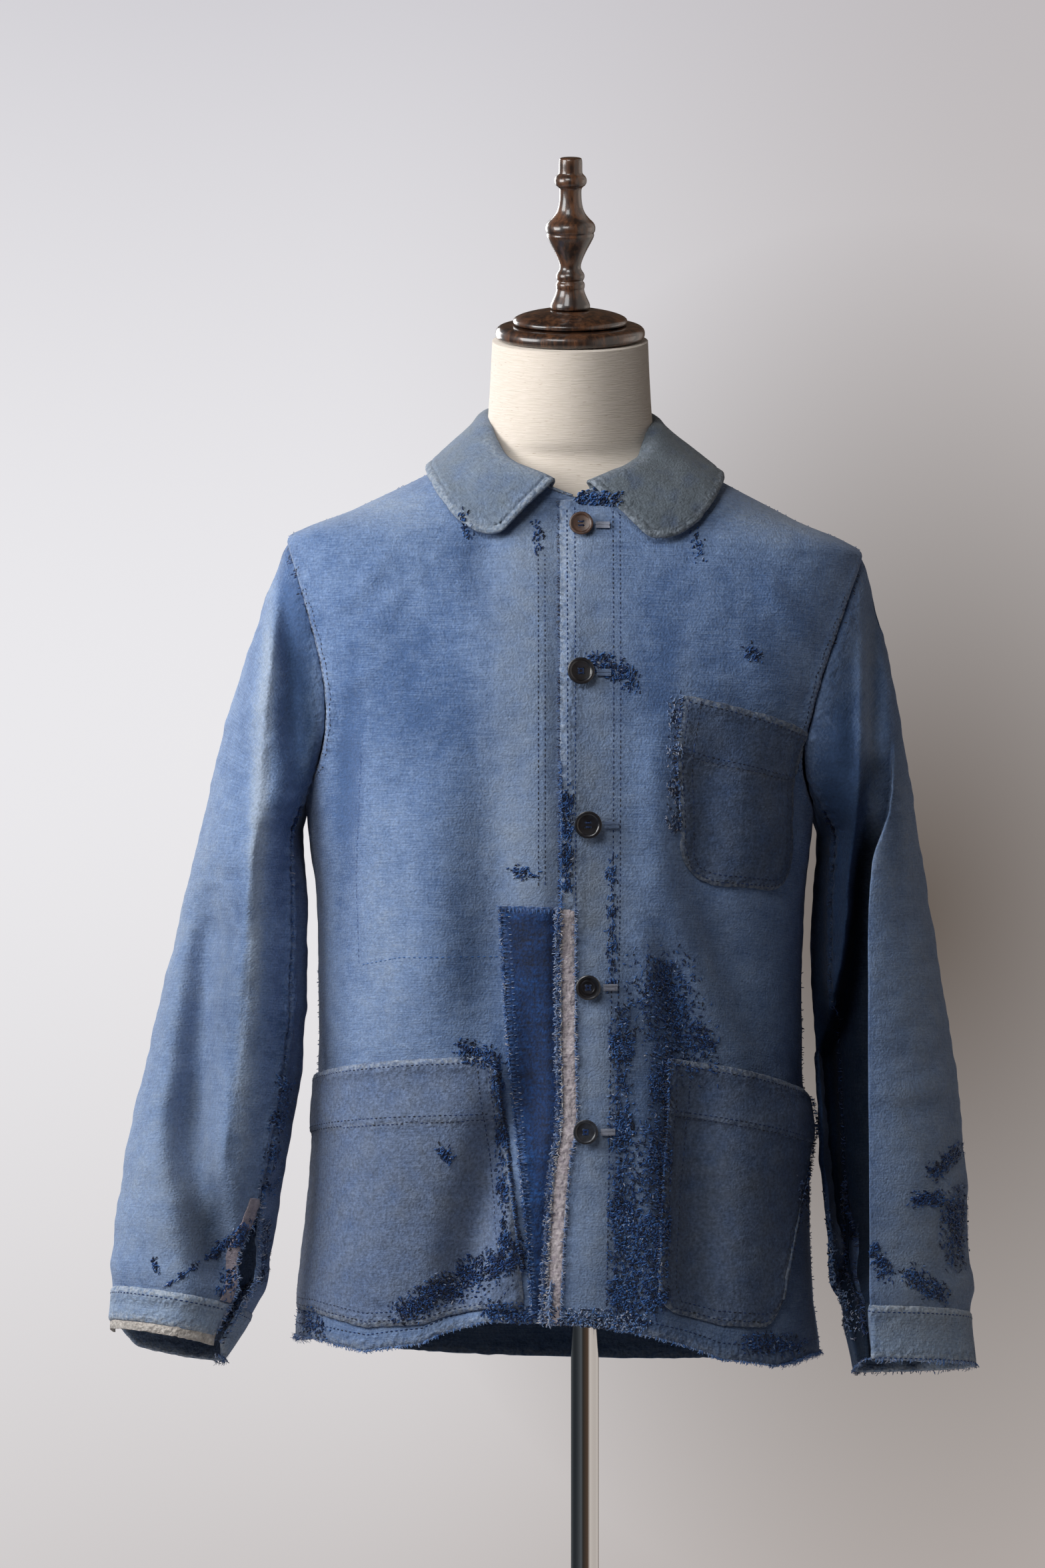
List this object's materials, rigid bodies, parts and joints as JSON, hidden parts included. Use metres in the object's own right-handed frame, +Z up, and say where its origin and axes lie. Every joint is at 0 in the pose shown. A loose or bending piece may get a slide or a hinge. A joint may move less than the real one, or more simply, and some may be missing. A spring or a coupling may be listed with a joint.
{
  "type": "patched boro work jacket on a limbless dress form",
  "caption": "Faded blue work jacket with rounded collar and patch pockets, darned and patched all over, worn buttoned on a linen dress form with a wood finial, a pole and a round base.",
  "frame": {"origin": "centre of the underside of the round base", "axes": "+Z up; the jacket's front faces -Y; the wearer's left is at +X"},
  "size_m": [0.6597, 0.38, 1.5687],
  "materials": {
    "moleskin": "worn and faded blue cotton moleskin, soft and matt, with darns and rubbed edges",
    "moleskin_grey": "the same moleskin, rubbed and soiled to a greyer blue",
    "patch_cloth": "darker, less faded blue cotton",
    "faded_tape": "pinkish grey cotton tape, frayed",
    "twill": "off-white cotton twill",
    "thread": "blue darning and sewing thread",
    "linen": "ecru linen with slubs, stretched smooth",
    "dark_wood": "dark walnut stain under gloss lacquer",
    "chromed_steel": "polished chrome plate",
    "enamelled_iron": "black satin enamel on cast iron",
    "button_brown": "brown mottled resin, polished",
    "button_dark": "near-black mottled resin, polished"
  },
  "bodies": {
    "root": {"back": "moleskin", "front_right": "moleskin", "front_left": "moleskin", "neckband": "moleskin", "collar": "moleskin_grey", "sleeve_right_top": "moleskin", "sleeve_right_under": "moleskin", "sleeve_left_top": "moleskin", "sleeve_left_under": "moleskin", "cuff_right": "moleskin_grey", "cuff_left": "moleskin_grey", "pocket_right": "moleskin_grey", "pocket_left": "moleskin_grey", "pocket_chest": "moleskin_grey", "patch_front": "patch_cloth", "placket_binding": "faded_tape", "vent_facing_right": "faded_tape", "cuff_lining_right": "twill", "form_torso": "linen", "cap_lower": "dark_wood", "cap_upper": "dark_wood", "finial": "dark_wood", "pole": "chromed_steel", "pole_socket": "chromed_steel", "base_hub": "enamelled_iron", "base_plate": "enamelled_iron", "button_1": "button_brown", "button_2": "button_dark", "button_3": "button_dark", "button_4": "button_dark", "button_5": "button_dark"}
  },
  "joints": []
}
